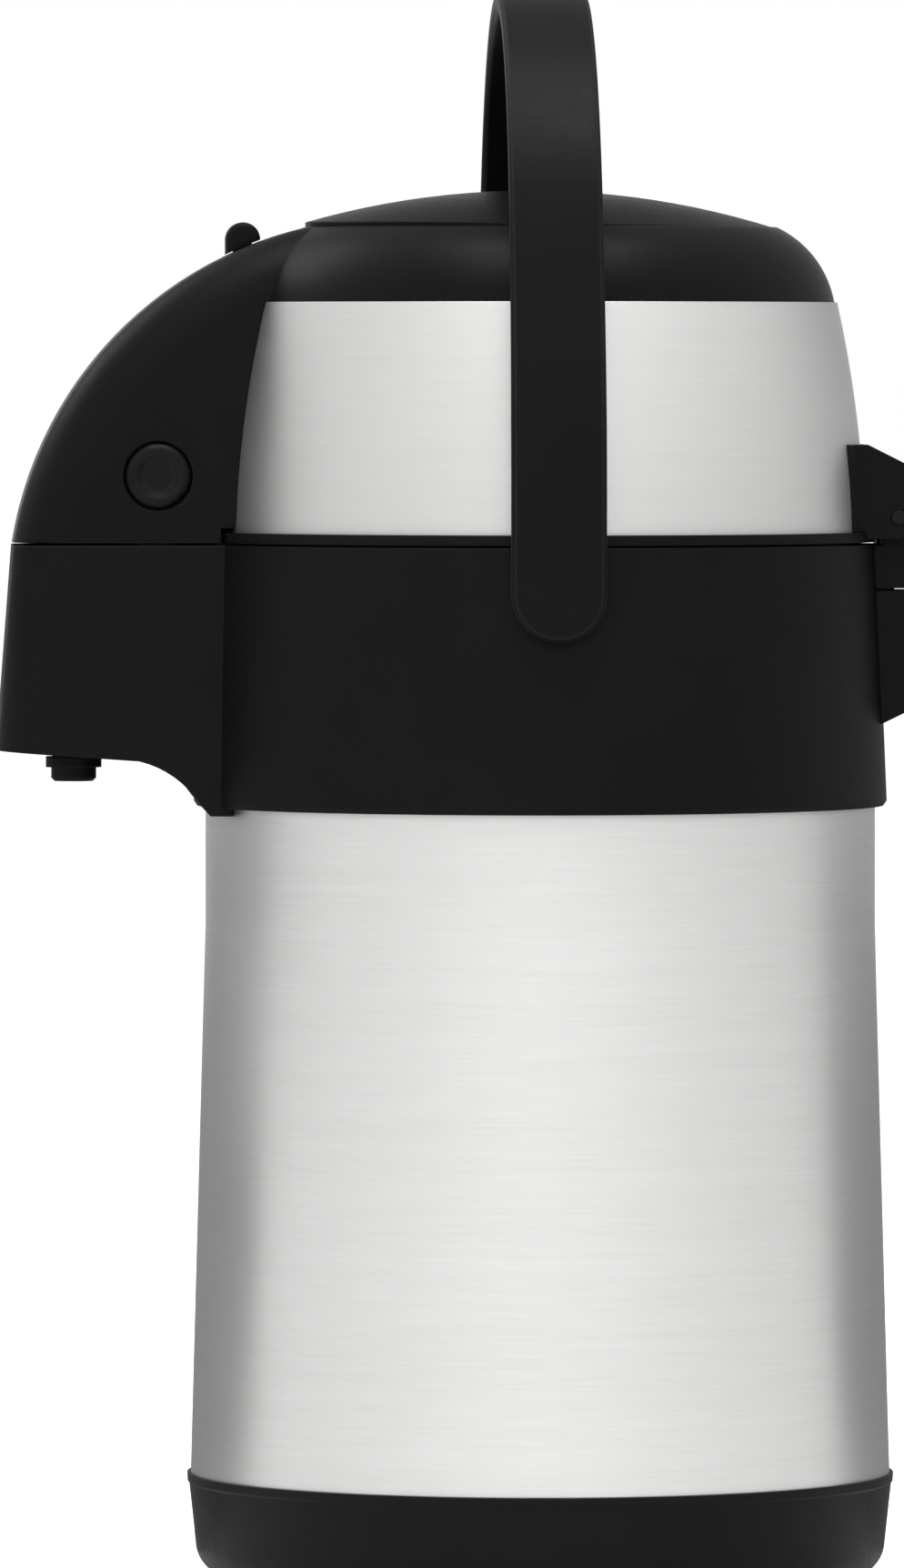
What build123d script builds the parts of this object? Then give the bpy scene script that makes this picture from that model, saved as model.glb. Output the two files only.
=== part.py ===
from build123d import *
import os
from math import asin, cos, degrees, radians, sin, sqrt, tan

os.makedirs("parts", exist_ok=True)

# Airpot with a hinged pump lid and a strap handle, in millimetres.
# +Z is up, the spout points to -Y, the hinge is at +Y, the origin is on the floor under the body's centre.

# Steel vacuum flask
steel = 0.8
shell_bottom_radius = 85.5
shell_top_radius = 81.8
base_height = 25.8
shell_height = 163.1
straight_height = 28.9
neck_radius = 41.0
neck_height = 12.0
vacuum_gap = 11.8
liner_lift = 14.2
liner_corner = 14.0
neck_gap = 0.3

# Base cup
base_rim_radius = shell_bottom_radius + 0.9
base_floor_radius = shell_bottom_radius - 8.5
base_wall = 2.4
base_lift = 0.8
spigot_height = 8.0
foot_ring_radius = base_floor_radius - 5.0
foot_ring_width = 6.0
foot_ring_height = 2.6

# Collar, deck and nose
collar_bottom = base_height + shell_height
collar_height = 63.7
collar_top = collar_bottom + collar_height
collar_bottom_radius = shell_top_radius + 2.9
collar_top_radius = collar_bottom_radius - 2.7
wall = 2.6
deck_drop = 3.4
deck_top = collar_top - deck_drop
nose_length = 46.9
nose_reach = collar_top_radius + nose_length
nose_half_width = 25.5
nose_corner = 13.0
nose_taper = 4.35
nose_root = 30.0
nose_beyond = nose_reach + 31.0
half_span = 60.0
nose_floor_front = collar_bottom + 14.1
nose_floor_back = collar_bottom + 11.5

# Heights inside the pot, and the tubes
neck_top = deck_top - 16.2
neck_start = neck_top - neck_height
shoulder_start = collar_bottom + 1.6
shell_taper_end = collar_bottom - straight_height
liner_radius = shell_top_radius - vacuum_gap
liner_floor = base_height + liner_lift
liner_neck_radius = neck_radius - steel - neck_gap
skirt_bottom = neck_start + 3.0
skirt_bore = neck_radius + neck_gap
tube_radius = 4.0
tube_bore = 3.2
tube_level = deck_top - 9.2
tube_bend = 12.0
mouth_radius = neck_radius - 7.5
tube_offset = mouth_radius - 4.0
nozzle_y = -(nose_reach - 14.9)
dip_tube_end = liner_floor + 6.0
press_gap = 0.05
running_gap = 0.05

# Lid
seam = 0.6
lid_bottom = collar_top + seam
lid_floor = collar_top - 0.6
lid_plate = 2.4
rim_radius = collar_top_radius - 0.4
rim_height = 2.4
band_height = 58.4
band_bottom_radius = rim_radius - 2.2
band_middle = (band_bottom_radius - 1.3, lid_bottom + 23.5)
band_top_radius = band_bottom_radius - 6.9
band_top = lid_bottom + band_height
band_sheet = 0.8
ring_rise = 18.3
ring_top = band_top + ring_rise
ring_foot = band_top_radius - 0.7
ring_shoulder = (ring_foot - 5.1, band_top + 11.3)
ring_width = 14.4
plate_radius = ring_foot - ring_width
plate_gap = 0.4
plate_rise = 9.0
plate_top = ring_top + plate_rise
dome_drop = 8.5
dome_radius = (plate_radius ** 2 + dome_drop ** 2) / (2 * dome_drop)
dome_shift = -2.4
plate_wall = 2.6
plate_flange = 2.1
plate_skirt_bottom = ring_top - 11.9
pump_travel = 20.0
lip_bottom = plate_skirt_bottom + 2.3
guide_bottom = plate_skirt_bottom - pump_travel - 3.0
crest_drop = 15.2
crest_radius = 94.4
crest_y = sqrt(crest_radius ** 2 - crest_drop ** 2) - nose_reach
crest_z = lid_bottom - crest_drop

# Air pump
bellows_bottom = lid_floor + 10.0
bellows_radius = plate_radius - 11.4
bellows_fold = 6.0
bellows_count = 7
bellows_sheet = 1.2
bellows_top = plate_top - 12.9
spring_radius = 20.0
spring_wire = 1.8

# Hinge
pin_y = collar_top_radius + 4.0
pin_z = collar_top + 6.7
pin_radius = 1.75
hinge_half_width = 28.0
hood_half_width = 24.0
knuckle_half_width = 17.0
knuckle_radius = 5.2
lug_half = 5.0
lug_gap = 0.3
heel_bottom = collar_top - 43.6
heel_top = collar_top - 11.3
heel_back = pin_y + 6.0
hinge_front = collar_top_radius - 12.0
hinge_screw_x = 9.0
hinge_screw_z = heel_bottom + 20.0
arm_screw_x = 21.0
arm_screw_z = lid_bottom + 13.8
arm_top = lid_bottom + 23.8

# Handle
pivot_z = collar_top - 11.1
strap_half_width = 11.4
crown_half_width = 10.8
strap_thick = 4.6
strap_edge = 1.0
strap_inner = collar_top_radius + 1.5
strap_straight = 22.0
leg_radius = 185.0
strap_lean = 24.0
bail_pin_radius = 4.0
pin_depth = 8.5
pin_seat = 2.8

# Latch buttons
button_y = -(nose_reach - 34.9)
button_z = lid_bottom + 16.3
button_radius = 7.9
button_gap = 0.6
button_travel = 3.0
button_face = nose_half_width + 0.9
dish_depth = 0.8
catch_edge = nose_half_width - 6.5
slot_half = 5.2
hook_half = 4.0
spring_post = 1.5

# Lock slider on the crest
lock_y = crest_y - 37.0
knob_half_length = 4.2
knob_half_width = 5.5
knob_rise = 6.25
knob_gap = 0.3
lock_travel = 6.0
foot_level = plate_skirt_bottom - 6.6

screw_radius = 1.5
screw_head = 2.8
screw_gap = 0.1
boss_angles = (50, 130, 215, 325)
boss_ring = band_top_radius - 5.5


def write(node, shape):
    export_step(shape, f"parts/{node}.step")


def lathe(*edges):
    """Turn a closed outline of (radius, height) edges about the body's axis."""
    return revolve(Plane.XZ * make_face(Curve() + list(edges)), Axis.Z)


def lathe_ring(inner, outer, low, high):
    """A plain ring with a rectangular section."""
    ring = Pos(0, 0, (low + high) / 2) * Cylinder(outer, high - low)
    if inner > 0:
        ring -= Pos(0, 0, (low + high) / 2) * Cylinder(inner, 2 * (high - low))
    return ring


def block(x0, x1, y0, y1, z0, z1):
    """A box between two corners."""
    return Pos((x0 + x1) / 2, (y0 + y1) / 2, (z0 + z1) / 2) * Box(x1 - x0, y1 - y0, z1 - z0)


def rod_x(radius, x0, x1, y, z):
    """A round bar along X."""
    return Pos((x0 + x1) / 2, y, z) * Rot(0, 90, 0) * Cylinder(radius, x1 - x0)


def rod_z(radius, x, y, z0, z1):
    """An upright round bar."""
    return Pos(x, y, (z0 + z1) / 2) * Cylinder(radius, z1 - z0)


# Base cup: thin outer lip, rounded lower corner, spigot inside the shell, groove for the foot ring
spigot_radius = shell_bottom_radius - steel - 0.4
lip_corner = (base_rim_radius - 2.1, base_lift + 7.8)
spigot_top = base_height + spigot_height
recess_edge = foot_ring_radius - foot_ring_width
base_outline = [
    Line((0, base_lift + base_wall), (0, base_lift + 2 * base_wall)),
    Line((0, base_lift + 2 * base_wall), (spigot_radius - base_wall, base_lift + 2 * base_wall)),
    Line((spigot_radius - base_wall, base_lift + 2 * base_wall), (spigot_radius - base_wall, spigot_top)),
    Line((spigot_radius - base_wall, spigot_top), (spigot_radius - 0.6, spigot_top)),
    Line((spigot_radius - 0.6, spigot_top), (spigot_radius, base_height)),
    Line((spigot_radius, base_height), (base_rim_radius, base_height)),
    Line((base_rim_radius, base_height), (base_rim_radius - 0.1, base_height - 2)),
    Line((base_rim_radius - 0.1, base_height - 2), (base_rim_radius - 0.5, base_height - 2.4)),
    Line((base_rim_radius - 0.5, base_height - 2.4), lip_corner),
    ThreePointArc(lip_corner, (base_rim_radius - 4.2, base_lift + 2.6), (base_floor_radius, base_lift)),
    Line((base_floor_radius, base_lift), (recess_edge, base_lift)),
    Line((recess_edge, base_lift), (recess_edge - 3, base_lift + base_wall)),
    Line((recess_edge - 3, base_lift + base_wall), (0, base_lift + base_wall)),
]
base_cup = lathe(*base_outline)
ring_inner = foot_ring_radius - foot_ring_width / 2
ring_outer = foot_ring_radius + foot_ring_width / 2
base_cup -= lathe_ring(ring_inner, ring_outer, 0, foot_ring_height)
# Eight ribs stiffen the hollow inside of the cup
for turn in range(8):
    rib = block(18, spigot_radius - base_wall + 0.5, -0.9, 0.9, base_lift + base_wall + 1, base_height - 4)
    base_cup += Rot(0, 0, 45 * turn + 22.5) * rib
write("base_cup", base_cup)
write("foot_ring", lathe_ring(ring_inner, ring_outer, 0, foot_ring_height))


# Vacuum flask: outer shell, its bottom disc and the liner
def shell_side(inset):
    """Half outline of the outer shell from its foot to the neck, moved inwards by inset."""
    foot = (shell_bottom_radius - inset, base_height)
    taper_end = (shell_top_radius - inset, shell_taper_end)
    shoulder = (shell_top_radius - inset, shoulder_start)
    upper = (shell_top_radius - 2.3 - 0.9 * inset, shoulder_start + 9.0 - 0.4 * inset)
    middle = (shell_top_radius - 9.8 - 0.7 * inset, shoulder_start + 18.5 - 0.7 * inset)
    neck_foot = (neck_radius + 4 - inset, neck_start - inset)
    neck_low = (neck_radius - inset, neck_start + 2)
    return [
        Line(foot, taper_end),
        Line(taper_end, shoulder),
        Line(shoulder, upper),
        Line(upper, middle),
        Line(middle, neck_foot),
        Line(neck_foot, neck_low),
        Line(neck_low, (neck_radius - inset, neck_top)),
    ]


shell_cap = Line((neck_radius, neck_top), (neck_radius - steel, neck_top))
shell_foot = Line((shell_bottom_radius, base_height), (shell_bottom_radius - steel, base_height))
write("outer_shell", lathe(*shell_side(0), *shell_side(steel), shell_cap, shell_foot))

disc_edge = shell_bottom_radius - steel - 0.7
shell_bottom = lathe_ring(0, disc_edge, spigot_top + 0.4, spigot_top + 0.4 + steel)
shell_bottom += lathe_ring(disc_edge - steel, disc_edge, spigot_top + 0.4, spigot_top + 5)
write("shell_bottom", shell_bottom)


liner_neck_foot = neck_start - 4.0


def liner_side(inset):
    """Half outline of the flask liner from the axis to the neck, moved inwards by inset."""
    radius = liner_radius - inset
    low = liner_floor + inset
    corner = liner_corner - inset
    bend = (radius - corner * (1 - cos(radians(45))), low + corner * (1 - sin(radians(45))))
    shoulder = (radius, shoulder_start - 5)
    middle = (liner_radius - 8.5 - 0.7 * inset, shoulder_start + 13.0 - 0.7 * inset)
    neck_foot = (liner_neck_radius + 3 - inset, neck_start - 6.5 - inset)
    neck_low = (liner_neck_radius - inset, liner_neck_foot)
    return [
        Line((0, low), (radius - corner, low)),
        Line((radius - corner, low), bend),
        Line(bend, (radius, low + corner)),
        Line((radius, low + corner), shoulder),
        Line(shoulder, middle),
        Line(middle, neck_foot),
        Line(neck_foot, neck_low),
    ]


lip_top = neck_top + steel
liner_outline = liner_side(0) + liner_side(steel) + [
    Line((0, liner_floor), (0, liner_floor + steel)),
    Line((liner_neck_radius, liner_neck_foot), (liner_neck_radius, neck_top)),
    Line((liner_neck_radius, neck_top), (neck_radius, neck_top)),
    Line((neck_radius, neck_top), (neck_radius, lip_top)),
    Line((neck_radius, lip_top), (liner_neck_radius - steel, lip_top)),
    Line((liner_neck_radius - steel, lip_top), (liner_neck_radius - steel, liner_neck_foot)),
]
write("flask_liner", lathe(*liner_outline))

gasket_top = lip_top + 1.2
write("neck_gasket", lathe_ring(liner_neck_radius - steel + neck_gap, neck_radius, lip_top, gasket_top))


# Tube route: up from the flask, forward under the deck, down through the nose
def tube_run(radius, low_end):
    """Solid bar along the delivery tube's route."""
    turn_y = -tube_offset - tube_bend
    drop_y = nozzle_y + tube_bend
    turn_z = tube_level - tube_bend
    up = rod_z(radius, 0, -tube_offset, turn_z - 4, turn_z)
    down = rod_z(radius, 0, nozzle_y, low_end, turn_z)
    across = Pos(0, (turn_y + drop_y) / 2, tube_level) * Rot(90, 0, 0) * Cylinder(radius, turn_y - drop_y)
    section = Pos(0, -tube_offset, turn_z) * Circle(radius)
    first_axis = Axis((0, turn_y, turn_z), (1, 0, 0))
    first_bend = revolve(section, first_axis, 90)
    second_section = Pos(0, nozzle_y, turn_z) * Circle(radius)
    second_axis = Axis((0, drop_y, turn_z), (-1, 0, 0))
    second_bend = revolve(second_section, second_axis, 90)
    return up + first_bend + across + second_bend + down


pipe_end = nose_floor_front - 6.0
delivery_pipe = tube_run(tube_radius, pipe_end) - tube_run(tube_bore, pipe_end)
write("delivery_pipe", delivery_pipe)
pipe_hole = tube_run(tube_radius + press_gap, pipe_end)

pipe_start = tube_level - tube_bend - 4
dip_tube = rod_z(tube_radius, 0, -tube_offset, dip_tube_end, pipe_start)
dip_tube -= rod_z(tube_bore, 0, -tube_offset, dip_tube_end - 1, pipe_start + 1)
# Slanted foot, so that the tube can't seal itself on the flask's floor
dip_tube -= Pos(0, -tube_offset, dip_tube_end) * Rot(25, 0, 0) * Box(20, 20, 4)
write("dip_tube", dip_tube)

holder_top = deck_top + 1.2
tube_holder = lathe_ring(mouth_radius, liner_neck_radius - steel - 0.4, neck_start + 1, gasket_top)
tube_holder += lathe_ring(mouth_radius, neck_radius, gasket_top, gasket_top + 1.2)
tube_holder += lathe_ring(mouth_radius, skirt_bore - 3.1, gasket_top + 1.2, deck_top)
tube_holder += lathe_ring(mouth_radius, skirt_bore + 3.2, deck_top, holder_top)
boss_radius = tube_radius + 2.2
boss = rod_z(boss_radius, 0, -tube_offset, neck_start - 9, tube_level - 2)
boss += block(-boss_radius, boss_radius, -mouth_radius - 2, -tube_offset, neck_start + 1, tube_level - 2)
tube_holder += boss
tube_holder -= pipe_hole
tube_holder -= rod_z(tube_radius + press_gap, 0, -tube_offset, neck_start - 21, pipe_start)
write("tube_holder", tube_holder)


# Nose and beak: one tapered plan outline cut by two side outlines
def beak_prism(inset):
    """Tapered plan of nose and beak from the collar's foot to the lid's top, moved inwards by inset."""
    low = collar_bottom - 8.9
    grow = (lid_bottom - low) * tan(radians(nose_taper))
    half = nose_half_width + grow - inset
    front = -nose_reach - grow + inset
    plan = Pos(0, (front - nose_root) / 2) * Rectangle(2 * half, -nose_root - front)
    plan = fillet(plan.vertices().group_by(Axis.Y)[0], nose_corner - inset)
    return extrude(Pos(0, 0, low) * plan, ring_top + 3 - low, taper=nose_taper)


def side_prism(edges):
    """Solid across the width from a closed (y, z) outline."""
    return extrude(Plane.YZ * make_face(Curve() + edges), half_span, both=True)


def nose_side(inset):
    """Side outline of the nose: rising floor and the hollow sweep down to the collar's foot."""
    front = -nose_reach - 21
    back = -nose_root - 10
    arc_start = (-collar_bottom_radius - 14.0, nose_floor_back + inset)
    arc_middle = (-collar_bottom_radius - 5.1, collar_bottom + 7.3 + inset)
    arc_end = (-collar_bottom_radius + 0.3, collar_bottom + 1.6 + inset)
    foot = (-collar_bottom_radius + 3.2, collar_bottom - 1.8 + inset)
    return [
        Line((front, nose_floor_front + 1 + inset), arc_start),
        ThreePointArc(arc_start, arc_middle, arc_end),
        Line(arc_end, foot),
        Line(foot, (back, foot[1])),
        Line((back, foot[1]), (back, collar_top)),
        Line((back, collar_top), (front, collar_top)),
        Line((front, collar_top), (front, nose_floor_front + 1 + inset)),
    ]


def collar_radius(z):
    """Outer radius of the collar at height z."""
    share = (z - collar_bottom) / (collar_top - collar_bottom)
    return collar_bottom_radius + share * (collar_top_radius - collar_bottom_radius)


def collar_solid(offset):
    """Solid inside the collar's outer cone, moved outwards by offset."""
    foot = collar_bottom_radius + offset
    head = collar_top_radius + offset
    return lathe(
        Line((0, collar_bottom), (foot - 0.8, collar_bottom)),
        Line((foot - 0.8, collar_bottom), (foot, collar_bottom + 1.2)),
        Line((foot, collar_bottom + 1.2), (head, collar_top)),
        Line((head, collar_top), (0, collar_top)),
        Line((0, collar_top), (0, collar_bottom)),
    )


collar_outer = collar_solid(0)
collar_seat = collar_solid(press_gap)
collar_inner = lathe(
    Line((0, collar_bottom - 5), (collar_bottom_radius - wall, collar_bottom - 5)),
    Line((collar_bottom_radius - wall, collar_bottom - 5), (collar_top_radius - wall, collar_top + 3)),
    Line((collar_top_radius - wall, collar_top + 3), (0, collar_top + 3)),
    Line((0, collar_top + 3), (0, collar_bottom - 5)),
)
nose_outer = beak_prism(0) & side_prism(nose_side(0))
nose_inner = beak_prism(wall) & side_prism(nose_side(wall))
# The hollow stops in front of the solid sweep under the nose
nose_front = block(
    -half_span, half_span, -nose_beyond, -collar_bottom_radius + 6.7, nose_floor_front + 0.6, collar_top + 1
)
nose_hollow = nose_inner & nose_front
collar = collar_outer + nose_outer - collar_inner - nose_hollow
# Deck with the mouth, a skirt down round the neck
deck = lathe_ring(skirt_bore, collar_top_radius - wall + 0.5, deck_top - wall, deck_top)
deck_joint = collar_top_radius - 12.0
nose_deck = beak_prism(wall - 0.5) & block(
    -half_span, half_span, -nose_beyond, -deck_joint + 10, deck_top - wall, deck_top
)
nose_deck -= lathe_ring(0, deck_joint, deck_top - wall - 1, deck_top + 1)
collar += deck + nose_deck
collar += lathe_ring(skirt_bore, skirt_bore + 2.2, skirt_bottom, deck_top - wall / 2)
# Ribs from the skirt to the wall
for turn in (35, 75, 105, 145, 215, 240, 300, 325):
    rib = block(skirt_bore + 1, collar_top_radius - wall + 0.6, -0.9, 0.9, neck_top - 1, deck_top - 1)
    collar += Rot(0, 0, turn) * rib
# Bosses and bores of the handle's pins
for side in (-1, 1):
    x0, x1 = sorted((side * (collar_top_radius - pin_depth - 1.5), side * (collar_top_radius - 1)))
    collar += rod_x(bail_pin_radius + 2.4, x0, x1, 0, pivot_z - 0.2)
    x0, x1 = sorted((side * (collar_top_radius - pin_depth - 2), side * (collar_top_radius + 10)))
    collar -= rod_x(bail_pin_radius + running_gap, x0, x1, 0, pivot_z)
collar -= pipe_hole
nozzle_spigot = 5.2
collar -= rod_z(nozzle_spigot + press_gap, 0, nozzle_y, collar_bottom, nose_floor_front + 6)
# Latch slots in the nose deck
slot_front = button_y - slot_half
slot_back = button_y + slot_half
slot_in = catch_edge - 8.5
for side in (-1, 1):
    x0, x1 = sorted((side * slot_in, side * catch_edge))
    collar -= block(x0, x1, slot_front, slot_back, deck_top - wall - 1, deck_top + 1)
# Screw holes of the hinge bracket
for side in (-1, 1):
    hole = Pos(side * hinge_screw_x, collar_top_radius - 2, hinge_screw_z) * Rot(90, 0, 0)
    collar -= hole * Cylinder(screw_radius + screw_gap, 12)
write("collar", collar)

# Nozzle under the nose: flange, spigot in the floor, outlet below
nozzle_floor = nose_floor_back + 0.5
nozzle = rod_z(6.8, 0, nozzle_y, nozzle_floor - 2.6, nozzle_floor)
nozzle += rod_z(5.5, 0, nozzle_y, nozzle_floor - 6.0, nozzle_floor - 2.4)
nozzle = chamfer(nozzle.edges().group_by(Axis.Z)[0], 0.8)
nozzle += rod_z(nozzle_spigot, 0, nozzle_y, nozzle_floor - 1, nozzle_floor + 6)
nozzle -= rod_z(tube_radius + press_gap, 0, nozzle_y, pipe_end, nozzle_floor + 10)
nozzle -= rod_z(tube_bore, 0, nozzle_y, nozzle_floor - 10, pipe_end + 1)
write("nozzle", nozzle)

# Hinge bracket: foot on the collar's back, knuckle block with two eyes on the pin
back_face = collar_seat + lathe_ring(0, collar_top_radius - 0.2, collar_top - 1, lid_bottom + 12)
bracket_body = block(-knuckle_half_width, knuckle_half_width, hinge_front, heel_back, heel_top + 0.7, collar_top)
foot_half = knuckle_half_width - 2
foot_back = heel_back - 6.4
bracket_foot = block(-foot_half, foot_half, hinge_front, foot_back, heel_bottom + 7, heel_top + 1.7)
knuckle = rod_x(knuckle_radius, -knuckle_half_width, knuckle_half_width, pin_y, pin_z)
knuckle += block(-knuckle_half_width, knuckle_half_width, pin_y - 3.2, pin_y + knuckle_radius, collar_top - 1, pin_z)
# The knuckle is split in the middle by the lid's centre lug
knuckle -= block(-lug_half - lug_gap, lug_half + lug_gap, hinge_front, pin_y + 14, collar_top, pin_z + 11)
hinge_bracket = bracket_body + bracket_foot - back_face
hinge_bracket = fillet(hinge_bracket.edges().filter_by(Axis.Z).group_by(Axis.Y)[-1], 2.0)
hinge_bracket += knuckle
hinge_bracket -= rod_x(pin_radius, -40, 40, pin_y, pin_z)
for side in (-1, 1):
    hole = Pos(side * hinge_screw_x, collar_top_radius + 2, hinge_screw_z) * Rot(90, 0, 0)
    hinge_bracket -= hole * Cylinder(screw_radius + screw_gap, 12)
write("hinge_bracket", hinge_bracket)
write("hinge_pin", rod_x(pin_radius, -hood_half_width - 0.3, hood_half_width + 0.3, pin_y, pin_z))

screws = []
hinge_screw_tip = foot_back - 0.1
for side in (-1, 1):
    head_y = collar_radius(hinge_screw_z) - wall - 1.9
    shaft = Pos(side * hinge_screw_x, (head_y + hinge_screw_tip) / 2, hinge_screw_z) * Rot(90, 0, 0)
    head = Pos(side * hinge_screw_x, head_y, hinge_screw_z) * Rot(90, 0, 0)
    screws.append(shaft * Cylinder(screw_radius, hinge_screw_tip - head_y) + head * Cylinder(screw_head, 2))
write("hinge_screws", Compound(screws))

cover_half = knuckle_half_width
cover_wall = 1.8
hinge_cover = extrude(
    Plane.YZ
    * make_face(
        Polyline(
            (hinge_front, heel_bottom + 6),
            (heel_back - 9.5, heel_bottom),
            (heel_back - 2.5, heel_bottom + 3.4),
            (heel_back, heel_bottom + 7),
            (heel_back, heel_top),
            (hinge_front, heel_top),
            close=True,
        )
    ),
    cover_half,
    both=True,
)
hinge_cover -= collar_seat
hinge_cover = fillet(hinge_cover.edges().filter_by(Axis.Z).group_by(Axis.Y)[-1], 2.0)
inside_half = cover_half - cover_wall
hinge_cover -= block(-inside_half, inside_half, hinge_front, foot_back + 0.2, heel_bottom + 6.5, heel_top + 1)
write("hinge_cover", hinge_cover)


# Handle strap: an arch of two leg arcs and a crown arc that meet at the lean angle
def strap_edges(inset):
    """Right half of the arch from the rounded end up to the crown, moved inwards by inset."""
    lean = radians(strap_lean)
    straight = pivot_z + strap_straight
    leg_x = strap_inner - leg_radius
    crown_radius = leg_radius + leg_x / cos(lean)
    crown_z = straight + (leg_radius - crown_radius) * sin(lean)
    leg = leg_radius + strap_thick - inset
    crown = crown_radius + strap_thick - inset
    end = (leg_x + leg, pivot_z - strap_half_width)
    tangent = (leg_x + leg * cos(lean), straight + leg * sin(lean))
    leg_middle = (leg_x + leg * cos(lean / 2), straight + leg * sin(lean / 2))
    crown_middle = (crown * cos(radians(60)), crown_z + crown * sin(radians(60)))
    top = (0, crown_z + crown)
    edges = [
        Line(end, (leg_x + leg, straight)),
        ThreePointArc((leg_x + leg, straight), leg_middle, tangent),
        ThreePointArc(tangent, crown_middle, top),
    ]
    return edges, end, top


outer_edges, outer_end, outer_top = strap_edges(0)
inner_edges, inner_end, inner_top = strap_edges(strap_thick)
strap_face = make_face(
    Curve() + outer_edges + inner_edges + [Line(outer_end, inner_end), Line(outer_top, inner_top)]
)
half_strap = extrude(Plane.XZ * strap_face, strap_half_width, both=True)
strap = half_strap + mirror(half_strap, Plane.YZ)
parallel_end = pivot_z + 40.0
crown_level = pivot_z + 170.0
side_view = make_face(
    Curve()
    + [
        ThreePointArc(
            (-strap_half_width, pivot_z), (0, pivot_z - strap_half_width), (strap_half_width, pivot_z)
        ),
        Line((strap_half_width, pivot_z), (strap_half_width, parallel_end)),
        Line((strap_half_width, parallel_end), (crown_half_width, crown_level)),
        Line((crown_half_width, crown_level), (-crown_half_width, crown_level)),
        Line((-crown_half_width, crown_level), (-strap_half_width, parallel_end)),
        Line((-strap_half_width, parallel_end), (-strap_half_width, pivot_z)),
    ]
)
strap = strap & extrude(Plane.YZ * side_view, 1.5 * strap_inner, both=True)
# Eased edges along the strap and round its ends
strap = chamfer(strap.edges().filter_by(lambda edge: edge.length > 12), strap_edge)
for side in (-1, 1):
    x0, x1 = sorted((side * (strap_inner - 1), side * (strap_inner + pin_seat)))
    strap -= rod_x(bail_pin_radius + running_gap, x0, x1, 0, pivot_z)
write("bail", strap)

bail_pins = []
for side in (-1, 1):
    x0, x1 = sorted((side * (collar_top_radius - pin_depth), side * (strap_inner + pin_seat - 0.2)))
    pin = rod_x(bail_pin_radius, x0, x1, 0, pivot_z)
    bail_pins.append(chamfer(pin.edges().filter_by(GeomType.CIRCLE), 0.5))
write("bail_pins", Compound(bail_pins))


# Lid
rim_top = lid_bottom + rim_height


def band_side(offset):
    """Convex side line of the lid band from its foot to its top, moved outwards by offset."""
    return ThreePointArc(
        (band_bottom_radius + offset, rim_top),
        (band_middle[0] + offset, band_middle[1]),
        (band_top_radius + offset, band_top),
    )


def band_solid(offset):
    """Solid inside the band's outer face."""
    return lathe(
        Line((0, rim_top), (band_bottom_radius + offset, rim_top)),
        band_side(offset),
        Line((band_top_radius + offset, band_top), (0, band_top)),
        Line((0, band_top), (0, rim_top)),
    )


lid_band = band_solid(0) - band_solid(-band_sheet)
beak_opening = nose_half_width - 3.0
lid_band -= block(-beak_opening, beak_opening, -band_bottom_radius - 1, -20, lid_bottom, band_top + 1)
arm_screw_y = band_bottom_radius - 3.4
for side in (-1, 1):
    hole = Pos(side * arm_screw_x, arm_screw_y, arm_screw_z) * Rot(90, 0, 0)
    lid_band -= hole * Cylinder(screw_radius + press_gap, 14)
write("lid_band", lid_band)


# Beak over the front of the lid: a rounded section turned about the centre of the crest's arc
def beak_solid(inset, hidden=False):
    """Beak from the seam up to the ring, moved inwards by inset; hidden faces have plain bevels for corners."""
    radius = crest_radius - inset
    section = Pos(0, -radius / 2) * Rectangle(2 * (nose_half_width - inset), radius)
    corners = section.vertices().group_by(Axis.Y)[0]
    if hidden:
        section = chamfer(corners, 0.75 * (nose_corner - inset))
    else:
        section = fillet(corners, nose_corner - inset)
    turned = revolve(Pos(0, crest_y, crest_z) * section, Axis((0, crest_y, crest_z), (-1, 0, 0)), 100)
    return turned & block(-half_span, half_span, -nose_beyond, -nose_root - 2, lid_bottom, plate_top + 60)


beak_outer = beak_solid(0)
beak_inner = beak_solid(wall, hidden=True)

ring_edge = (ring_foot, band_top)
lip_radius = plate_radius + plate_gap
guide_radius = plate_radius + plate_flange + plate_gap
guide_wall = 2.4
ring_outer_solid = lathe(
    Line((0, band_top), ring_edge),
    ThreePointArc(ring_edge, ring_shoulder, (lip_radius, ring_top)),
    Line((lip_radius, ring_top), (0, ring_top)),
    Line((0, ring_top), (0, band_top)),
)
guide_outer = guide_radius + guide_wall
ring_hollow = lathe(
    *Polyline(
        (guide_outer, guide_bottom),
        (ring_foot - wall, guide_bottom),
        (ring_foot - wall, band_top),
        (ring_foot - 1.9 * wall, band_top + 6.0),
        (guide_outer, ring_top - 6.3),
        close=True,
    ).edges()
)
plate_well = lathe_ring(0, lip_radius, lid_floor, ring_top + 5)
plate_well += lathe_ring(0, guide_radius, lid_floor, lip_bottom)
guide = lathe_ring(guide_radius, guide_outer, guide_bottom, ring_top - 4)
# The ring's foot laps inside the top of the band
lap_radius = band_top_radius - band_sheet - 0.1
band_lap = lathe_ring(lap_radius - 1.8, lap_radius, band_top - 3, band_top + 1)
beak_cut = band_solid(press_gap) + lathe_ring(0, band_top_radius - 6.5, lid_floor, band_top + 1)
lid_top = ring_outer_solid + (beak_outer - beak_cut) + guide + band_lap
lid_top -= ring_hollow
lid_top -= plate_well
lid_top -= beak_inner - lathe_ring(0, guide_outer, lid_floor, plate_top + 60)
# Notch for the rim at the beak's rear corners
lid_top -= lathe_ring(0, rim_radius + 1.2, lid_bottom - 1, rim_top + 1.2)
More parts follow.
